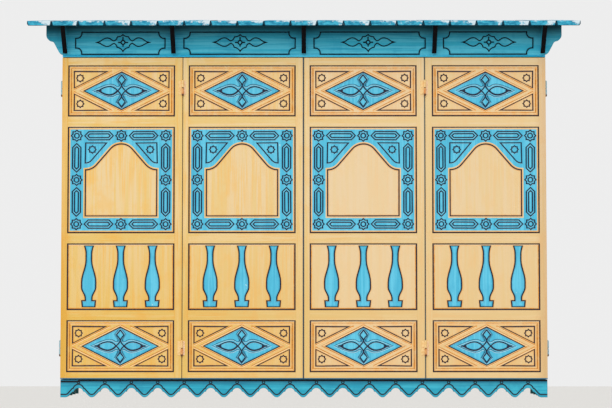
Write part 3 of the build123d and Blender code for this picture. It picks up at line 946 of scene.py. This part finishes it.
def show(name, solid, materials, nodes=(), smooth=False):
    """A piece made of a solid, which keeps its painted lines and stains as attributes."""
    mesh = bpy.data.meshes.new(name)
    mesh.from_pydata(solid.points.tolist(), [], solid.faces)
    for key, values in (("line", solid.line), ("stain", solid.stain)):
        layer = mesh.attributes.new(key, "FLOAT", "POINT")
        layer.data.foreach_set("value", values.astype(np.float32))
    for material in materials:
        mesh.materials.append(material)
    mesh.polygons.foreach_set("material_index", [int(i) for i in solid.paint])
    mesh.polygons.foreach_set("use_smooth", [smooth] * len(mesh.polygons))
    add_piece(name, mesh, nodes)


PANELS = {"bottom_panel": diamond_board, "baluster_panel": baluster_board,
          "arch_panel": arch_board, "top_panel": diamond_board}


def at(x, y, z, turn=0.0):
    return Matrix.Translation((x, y, z)) @ Matrix.Rotation(radians(turn), 4, "Z")


def plank(width, height, thick, ground):
    return carve(Board(rectangle(width, height), SEAM), thick, ground)


def leaf_spans():
    """Lower and upper edge of each panel opening in a leaf, from the bottom up."""
    boxes = [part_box("leaf_1_" + name) for name in PANELS]
    reach = SEAT + PANEL_GROW
    return [(low.z - reach - drop, high.z + reach - drop)
            for (low, high), drop in zip(boxes, PANEL_DROPS)]


def stiles(width, low, high, thick, slip, rebated, tongued):
    """Both stiles of a leaf, the left one cut back behind and the right one with a lap if they are so."""
    left, right = (STILE - PANEL_GROW + way for way in (slip, -slip))
    side = (left - width) / 2
    half = thick / 2

    def post(wide, x, deep, y=0, paint=UPRIGHT):
        return moved(plank(wide, high - low, deep, paint), at(x, y, (low + high) / 2))

    pieces = [post(right, (width - right) / 2, thick)]
    if rebated:
        pieces += [post(left, side, half), post(left - LEAF_LAP, side + LEAF_LAP / 2, half, half)]
    else:
        pieces.append(post(left, side, thick))
    if tongued:
        reach = LEAF_GAP + LEAF_LAP - LAP_PLAY
        pieces.append(post(reach, (width + reach) / 2, half - LAP_PLAY, half + LAP_PLAY, TONGUE))
    return pieces


def framework(width, low, high, thick, slip=0.0, rebated=False, tongued=False):
    """Two stiles and five rails round the four openings, centred on x = 0, at their real height."""
    pieces = stiles(width, low, high, thick, slip, rebated, tongued)
    edges = [low] + [z for span in leaf_spans() for z in span] + [high]
    for base, top in zip(edges[::2], edges[1::2]):
        rail = plank(width - 2 * (STILE - PANEL_GROW), top - base, thick, ACROSS)
        pieces.append(moved(rail, at(slip, 0, (base + top) / 2)))
    return joined(pieces)


def leaves():
    width = BOX_END - LAST_LEAF[0].x
    for leaf, slip in enumerate(LEAF_SLIPS, 1):
        node = f"leaf_{leaf}_frame"
        low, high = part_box(node)
        timber = framework(width, low.z, high.z, high.y - low.y, slip, leaf > 1, leaf < LEAVES)
        timber = moved(timber, at(low.x + width / 2, low.y, 0))
        show(f"leaf_{leaf}_stiles_and_rails", timber, YELLOW_X, [node])
        for (name, design), (base, top) in zip(PANELS.items(), leaf_spans()):
            node = f"leaf_{leaf}_{name}"
            low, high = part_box(node)
            board = design(high.x - low.x + 2 * PANEL_GROW, top - base - 2 * SEAT)
            place = at((low.x + high.x) / 2 + slip, low.y, (base + top) / 2)
            solid = moved(carve(board, high.y - low.y), place)
            show("carved_" + node, solid, PANEL, [node])


def sides():
    """Fixed leaves on the box's two ends, drawn as the front ones are and turned round."""
    low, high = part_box("left_side_frame")
    middle = (low.y + high.y) / 2
    panel_low, panel_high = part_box("left_side_panels")
    panel_width = panel_high.y - panel_low.y + 2 * PANEL_GROW
    for name, x, turn in (("left", low.x, -90), ("right", -low.x, 90)):
        timber = moved(framework(high.y - low.y, low.z, high.z, high.x - low.x), at(x, middle, 0, turn))
        show(name + "_stiles_and_rails", timber, YELLOW_Y, [name + "_side_frame"])
        panels = []
        for (base, top), design in zip(leaf_spans(), PANELS.values()):
            panel = carve(design(panel_width, top - base - 2 * SEAT), panel_high.x - panel_low.x)
            panels.append(moved(panel, at(x, middle, (base + top) / 2, turn)))
        show(name + "_carved_panels", joined(panels), PANEL, [name + "_side_panels"])


# Frieze

def frieze_motif(board, cx, cz):
    """Pointed rosette with a leaf on each side, round a small ring with four spikes."""
    tip = drawn((109, 0))
    top = curve((0, 32), (4, 26), (12, 22.5), (22, 22.5), (25, 15), (30, 7), (38, 6),
                (46, 9), (51, 18), (63, 18), (76, 18), (86, 8), (95, 3)) + tip
    low = curve((0, -37), (5, -27), (14, -21), (24, -20), (25, -14), (29, -5), (38, -4),
                (46, -8), (51, -16), (63, -16), (76, -16), (86, -7), (95, -2.5)) + tip
    half = top + low[-2::-1]
    loop = half + [(-x, z) for x, z in half[-2:0:-1]]
    board.cut([(cx + x, cz + z) for x, z in loop], MOTIF)
    board.cut(ring(cx, cz, MOTIF_RING, count=16), FINE)
    for turn, end in enumerate(SPIKE_ENDS):
        a = radians(90 * turn)
        spike = [(cx + r * cos(a), cz + r * sin(a)) for r in (SPIKE_START, end)]
        board.cut(spike, FINE, False)


def cartouche(cx, cz, width, height, steps=6):
    """A long rectangle with a stepped round notch in each corner."""
    reach = CARTOUCHE_NOTCH + CARTOUCHE_STEP
    turns = [pi / 2 * i / steps for i in range(steps + 1)]
    arc = [(CARTOUCHE_STEP + CARTOUCHE_NOTCH * sin(a), CARTOUCHE_STEP + CARTOUCHE_NOTCH * cos(a))
           for a in turns]
    notch = [(0, reach), *arc, (reach, 0)]
    loop = []
    for sx, sz in ((-1, -1), (1, -1), (1, 1), (-1, 1)):
        corner = notch if sx == sz else notch[::-1]
        loop += [(cx + sx * (width / 2 - a), cz + sz * (height / 2 - b)) for a, b in corner]
    return loop


def frieze_outline(half, reach, height):
    """The board from its lower right corner up the ogee and the lobe of its wing, and along the top."""
    end = half + reach
    x, z = cusp = (end - WING_LOBE[0], WING_DROP - WING_LOBE[1])
    lobe = bezier(cusp, (x + WING_CURVE[0], z + WING_CURVE[1]), (end, WING_DROP - WING_CURVE[2]),
                  (end, WING_DROP), 6)
    right = [(half, 0)] + ogee((half, WING_FOOT), cusp, WING_CORNER) + lobe + [(end, height)]
    return right + flip(right)


def frieze():
    low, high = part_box("frieze_board")
    front = low.y + FRIEZE_BEAD / 2
    board = Board(frieze_outline(BOX_END, high.x - BOX_END, high.z - low.z), ARRIS)
    middle = FRIEZE_BEAD + CARTOUCHE_LIFT + CARTOUCHE_HEIGHT / 2
    last_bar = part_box("bracket_straps")[1].x - BAR_WIDTH / 2
    bars = [-last_bar, -BAR_SPACING, 0, BAR_SPACING, last_bar]
    for left, right, slip, shift in zip(bars, bars[1:], CARTOUCHE_SHIFTS, MOTIF_SHIFTS):
        x = (left + right) / 2 + slip
        width = right - left - 2 * CARTOUCHE_MARGIN
        board.cut(cartouche(x, middle, width, CARTOUCHE_HEIGHT), CARTOUCHE_LINE)
        frieze_motif(board, x + shift, middle + MOTIF_LIFT)
    solid = moved(carve(board, high.y - front), at(0, front, low.z))
    show("carved_frieze", solid, [frieze_x], ["frieze_board"])
    radius = FRIEZE_BEAD / 2
    turns = np.linspace(-pi / 2, pi / 2, 9)
    bead = swept([(-radius * cos(a), radius * sin(a)) for a in turns], -BOX_END, BOX_END)
    bead = moved(bead, at(0, front, low.z + radius))
    show("frieze_bead", bead, [bead_blue], smooth=True)
    cheek("left", -90)
    cheek("right", 90)


def plain_solid(points, faces, paint):
    """A solid without painted lines or stains."""
    bare = np.zeros(len(points))
    return Solid(np.array(points), faces, np.array(paint), bare, bare)


def swept(section, start, end):
    """An outline of (y, z) points drawn along X and closed at both ends."""
    count = len(section)
    points = [(x, y, z) for x in (start, end) for y, z in section]
    faces = [[i, (i + 1) % count, count + (i + 1) % count, count + i] for i in range(count)]
    faces += [list(range(count))[::-1], list(range(count, 2 * count))]
    return plain_solid(points, faces, [0] * len(faces))


def end_place(low, high, turn):
    """Place of a board on one of the box's ends, at the middle and the foot of its node's box."""
    return at(high.x if turn > 0 else low.x, (low.y + high.y) / 2, low.z, turn)


def cheek(name, turn):
    """Sloping board between a side leaf and the roof."""
    node = name + "_side_frieze"
    low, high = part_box(node)
    length = high.y - low.y
    half = length / 2
    height = high.z - low.z
    ends = [height - length * tan(ROOF_SLOPE), height]
    left, right = ends if turn > 0 else ends[::-1]
    board = Board([(-half, 0), (half, 0), (half, right), (-half, left)], ARRIS)
    solid = moved(carve(board, high.x - low.x), end_place(low, high, turn))
    show(name + "_frieze_cheek", solid, [frieze_y], [node])


# Valance

def tooth(x, lobe):
    """One arch between two round tips, from the tip at x to the next."""
    half = TOOTH_PITCH / 2
    shoulder = half - LOBE_HALF - CUSP_STEP
    radius = (shoulder - CUSP_HEIGHT) / (sqrt(2) - 1)
    turns = [pi / 4 * i / 5 for i in range(6)]
    line = [(radius * sin(a), radius * (1 - cos(a))) for a in turns]
    line += [(shoulder, CUSP_HEIGHT), (half - lobe, CUSP_HEIGHT)]
    rise = TOOTH_HEIGHT - CUSP_HEIGHT
    crown = (lobe ** 2 + rise ** 2) / (2 * rise)
    reach = asin(lobe / crown)
    line += [(half - crown * sin(a), TOOTH_HEIGHT - crown * (1 - cos(a)))
             for a in (reach * k / 4 for k in (3, 2, 1, 0))]
    line += [(TOOTH_PITCH - a, z) for a, z in line[-2::-1]]
    return [(x + a, z) for a, z in line]


def valance_board(length, height, slip):
    """Sawn board with a painted line along its edge and a small ring carved over every arch."""
    count = int((length - 2 * END_LAND) / TOOTH_PITCH)
    land = (length - count * TOOTH_PITCH) / 2
    places = [land + slip + i * TOOTH_PITCH for i in range(count)]
    edge, path = ([(0, 0)] + [p for x in places for p in tooth(x, lobe)] + [(length, 0)]
                  for lobe in (LOBE_HALF, LINE_LOBE))
    board = Board([*edge, (length, height), (0, height)], ARRIS)
    low, high = LINE_RISE
    board.cut([(x, low + z * (1 + (high - low) / TOOTH_HEIGHT)) for x, z in path], PAINTED, False)
    joints = [x + TOOTH_PITCH / 2 for x in places]
    strip = height - STRIP
    board.cut([(0, strip - STRIP_SLIP), (joints[0], strip - STRIP_SLIP)], STRIP_LINE, False)
    board.cut([(joints[0], strip), (length, strip)], STRIP_LINE, False)
    for x in joints:
        board.cut(ring(x, (strip + TOOTH_HEIGHT + high) / 2, JOINT_RING, count=10), JOINT)
    return board


def valances():
    for name, turn in (("front", 0), ("left", -90), ("right", 90)):
        node = name + "_valance"
        low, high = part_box(node)
        length, thick, height = high - low
        slip, paint, place = VALANCE_SLIP, valance_x, at((low.x + high.x) / 2, low.y, low.z)
        if turn:
            length, thick = thick, length
            slip, paint, place = 0.0, valance_y, end_place(low, high, turn)
        # The backs of the valances take the dark teal painted shade.
        solid = carve(valance_board(length, height, slip), thick, rear=1)
        solid = moved(moved(solid, at(-length / 2, 0, 0)), place)
        show(name + "_scalloped_valance", solid, [paint, shaded_teal], [node])


# Roof

def roof():
    """Boards with chamfered edges, laid side by side up the slope."""
    low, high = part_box("roof_deck")
    half = high.x
    pairs = int(half / BOARD)
    edges = [-half] + [(i + 0.5) * BOARD for i in range(-pairs, pairs)] + [half]
    foot = Vector((0, low.y + BOARD_THICK * sin(ROOF_SLOPE), low.z))
    slope = Matrix.Translation(foot) @ Matrix.Rotation(ROOF_SLOPE, 4, "X")
    run = (high.y - low.y) / cos(ROOF_SLOPE)
    boards = []
    for start, end in zip(edges, edges[1:]):
        drop, back = (random.uniform(0, most) * MM for most in BOARD_UNEVEN)
        solid = carve(roof_board(end - start - BOARD_PLAY, BOARD_THICK - drop), run)
        board = moved(solid, slope @ at((start + end) / 2, back, 0))
        beyond = np.maximum(board.points[:, 1] - high.y, 0)
        board.points[:, 1] -= beyond
        board.points[:, 2] -= beyond * tan(ROOF_SLOPE)
        boards.append(board)
    stop = groove_stop(2 * half - 4 * BOARD_GROOVE)
    boards.append(moved(stop, slope @ at(0, run - STOP_PLACE, 2 * BOARD_GROOVE - STOP_HEIGHT / 2)))
    show("roof_boards", joined(boards), [roof_paint], ["roof_deck"])


def groove_stop(width):
    """A slip of wood that closes the joints between the boards near the wall, painted dark all over as
    painted shade.
    """
    slip = plank(width, STOP_HEIGHT, STOP_THICK, 0)
    return slip._replace(line=np.ones(len(slip.points)))


def roof_board(width, thick):
    """End of a board with chamfered edges, with dark paint down both joints as painted shade in the V
    joints.
    """
    x = width / 2
    under = BOARD_GROOVE
    over = BOARD_TOP_GROOVE
    right = [(x - under, 0), (x, under * BOARD_BEVEL), (x, thick - over), (x - over, thick)]
    left = flip(right)
    board = Board([left[-1], *right, *left[:-1]], ROOF_ARRIS)
    for side in (-1, 1):
        board.cut([(side * x, 0), (side * x, thick)], NOTCH, False)
        board.cut([(side * (x - under), 0), (side * x, thick)], NOTCH, False)
    return board


# Timbers and iron

def soften(node, name, material, bevel):
    """The node's own shape with its edges eased."""
    bm = bmesh.new()
    bm.from_mesh(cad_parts[node].data)
    bmesh.ops.remove_doubles(bm, verts=bm.verts, dist=WELD)
    bmesh.ops.dissolve_limit(bm, angle_limit=FLAT_ANGLE, verts=bm.verts, edges=bm.edges)
    mesh = bpy.data.meshes.new(name)
    bm.to_mesh(mesh)
    bm.free()
    mesh.materials.clear()
    mesh.materials.append(material)
    eased = add_piece(name, mesh, [node]).modifiers.new("ease", "BEVEL")
    eased.width = bevel
    eased.segments = 2
    eased.limit_method = "ANGLE"
    eased.angle_limit = EASED_ANGLE


def timbers():
    for node, material in (("wall_sill_rail", wood_x), ("wall_head_rail", wood_x), ("wall_posts", wood_z),
                           ("front_posts", wood_z), ("front_sill_rail", wood_x),
                           ("front_head_rail", wood_x), ("side_sill_rails", wood_y),
                           ("side_head_rails", wood_y), ("roof_joists", wood_y)):
        soften(node, "eased_" + node, material, 1.5 * MM)
    soften("canopy_brackets", "painted_gussets", bracket_paint, 1.0 * MM)
    soften("bracket_straps", "iron_bars", iron, 0.8 * MM)
    floor_planks()


def floor_planks():
    """Planks laid along the box, the first and the last one notched round the posts."""
    low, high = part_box("floor_boards")
    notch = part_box("front_posts")[1].y - low.y + SEAT
    inner = (high.y - low.y - 2 * notch) / FLOOR_PLANKS
    edges = [low.y] + [low.y + notch + i * inner for i in range(FLOOR_PLANKS + 1)] + [high.y]
    lying = Matrix.Rotation(-pi / 2, 4, "X")
    planks = []
    for i, (start, end) in enumerate(zip(edges, edges[1:])):
        short = notch if i in (0, FLOOR_PLANKS + 1) else 0
        board = plank(high.x - low.x - 2 * short, end - start - PLANK_PLAY, high.z - low.z, 0)
        planks.append(moved(board, Matrix.Translation((0, (start + end) / 2, high.z)) @ lying))
    show("floor_planks", joined(planks), [wood_x], ["floor_boards"])


# Hinges

def turned(profile, segments=20):
    """A solid turned round Z from (radius, height, paint) points, the first and last at radius 0."""
    turns = [2 * pi * i / segments for i in range(segments)]
    points = [(r * cos(a), r * sin(a), z) for a in turns for r, z, _ in profile]
    count = len(profile)
    faces = []
    for i in range(0, len(points), count):
        j = (i + count) % len(points)
        faces += [[i + k, j + k, j + k + 1, i + k + 1] for k in range(count - 1)]
    paint = [spot[2] for spot in profile[:-1]] * segments
    return plain_solid(points, faces, paint)


def barrel(radius, length):
    """Two knuckles on a pin, with a small round tip at each end.

    Paint 0 is for the upper knuckle, 1 for the pin and the lips beside it, 2 for the lower knuckle.
    """
    lip = KNUCKLE_LIP
    lower = length / 2 - KNUCKLE_GAP
    upper = length / 2 + KNUCKLE_GAP
    tip = radius * PIN_TIP
    neck = radius * PIN_NECK
    point = tip * PIN_POINT
    near, far, foot, base = PIN_ENDS
    return turned([(0, -foot, 1), (point, -far, 1), (tip, -base, 1), (radius - lip, 0, 1),
                   (radius, lip, 1), (radius, KNUCKLE_COLLAR, 2), (radius, lower - lip, 2),
                   (radius - lip, lower, 1), (neck, lower, 1), (neck, upper, 1),
                   (radius - lip, upper, 0), (radius, upper + lip, 0),
                   (radius, length - lip, 0), (radius - lip, length, 0), (tip, length, 0),
                   (point, length + near, 0), (0, length + far, 0)])


def hinge_feet(low, high):
    """Heights at which the lower and the upper hinge of a pair begin."""
    return (low.z + HINGE_TIP, high.z - HINGE_TIP - HINGE_LENGTH)


def fold_hinges():
    """Barrels on the folds between leaves, with a narrow flap on each leaf's face."""
    face = LAST_LEAF[0].y
    fold = BOX_END - LAST_LEAF[0].x + LEAF_GAP
    parts = []
    for x in (-fold, fold):
        for z in hinge_feet(*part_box("fold_hinges")):
            parts.append(moved(barrel(HINGE_BARREL, HINGE_LENGTH), at(x, face - HINGE_BARREL, z)))
            for side, width, ground in ((-1, LEFT_FLAP, 0), (1, RIGHT_FLAP, 3)):
                middle = x + side * (width / 2 + FLAP_GAP)
                place = at(middle, face - FLAP_THICK, z + HINGE_LENGTH / 2)
                parts.append(moved(flap_plate(width, ground), place))
    paints = [hinge_cream, rust, hinge_orange, hinge_pink]
    show("face_hinges", joined(parts), paints, ["fold_hinges"])


def flap_plate(width, ground=0):
    height = HINGE_LENGTH - FLAP_SHORT
    board = Board(rectangle(width, height), ARRIS)
    for z in (-SCREW_PLACE, SCREW_PLACE):
        board.cut(ring(0, z * height, SCREW, count=10), FLAP_SCREW)
    return carve(board, FLAP_THICK, ground)


def side_hinges():
    """Barrels on the outer edges of the end leaves, with a flap before and behind each of them."""
    low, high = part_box("side_hinges")
    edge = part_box("left_side_frame")[0]
    radius = (edge.x - low.x) / 2
    parts = []
    for side in (-1, 1):
        for z in hinge_feet(low, high):
            place = at(side * (abs(edge.x) + radius), edge.y, z)
            parts.append(moved(barrel(radius * SIDE_BARREL_SHARE, HINGE_LENGTH), place))
            for y, shift in ((low.y, -SIDE_FLAP_SHIFT), (high.y, SIDE_FLAP_SHIFT)):
                place = at(side * (abs(edge.x) + FLAP_THICK), (y + edge.y) / 2 + shift,
                           z + HINGE_LENGTH / 2, 90 * side)
                parts.append(moved(flap_plate(high.y - edge.y - SIDE_FLAP_INSET), place))
    paints = [hinge_blue, rust, hinge_blue]
    show("edge_hinges", joined(parts), paints, ["side_hinges"])


leaves()
sides()
frieze()
valances()
roof()
timbers()
fold_hinges()
side_hinges()


# Stage, light and camera

def stage():
    floor = bpy.data.meshes.new("floor")
    corners = [(x, z, FLOOR_Z) for x, z in rectangle(FLOOR_SIZE, FLOOR_SIZE)]
    floor.from_pydata(corners, [], [(0, 1, 2, 3)])
    floor.materials.append(Graph("pale_floor", 0.9).finish(srgb(*FLOOR_TONE)))
    placed("floor", floor)


def light():
    """A plain white sky, lighter where it is looked at, and one wide soft lamp."""
    world = bpy.data.worlds.new("studio")
    bpy.context.scene.world = world
    world.use_nodes = True
    sky = Nodes(world.node_tree)
    seen = sky.add("LightPath", {}, "Is Camera Ray")
    for ray in ("Is Glossy Ray", "Is Transmission Ray"):
        seen = sky.math("MAXIMUM", seen, sky.add("LightPath", {}, ray))
    background = sky.tree.nodes["Background"].inputs
    strength = sky.add("MapRange", {"Value": seen, "To Min": SKY_LIGHT, "To Max": SKY_SEEN})
    sky.feed(background["Strength"], strength)
    sky.feed(background["Color"], (1, 1, 1, 1))
    sun = bpy.data.lights.new("sky_light", "SUN")
    sun.energy = SUN_STRENGTH
    sun.angle = radians(SUN_WIDTH)
    lamp = placed("sky_light", sun)
    lamp.rotation_euler = (radians(90 - SUN_HEIGHT), 0, radians(SUN_SIDE))


def camera():
    data = bpy.data.cameras.new("camera")
    data.lens = LENS
    data.sensor_width = SENSOR
    view = placed("camera", data)
    view.location = CAMERA_PLACE
    view.rotation_euler = (radians(90 + CAMERA_TILT), 0, radians(CAMERA_TURN))
    bpy.context.scene.camera = view
    bpy.context.scene.view_settings.view_transform = "Standard"


stage()
light()
camera()
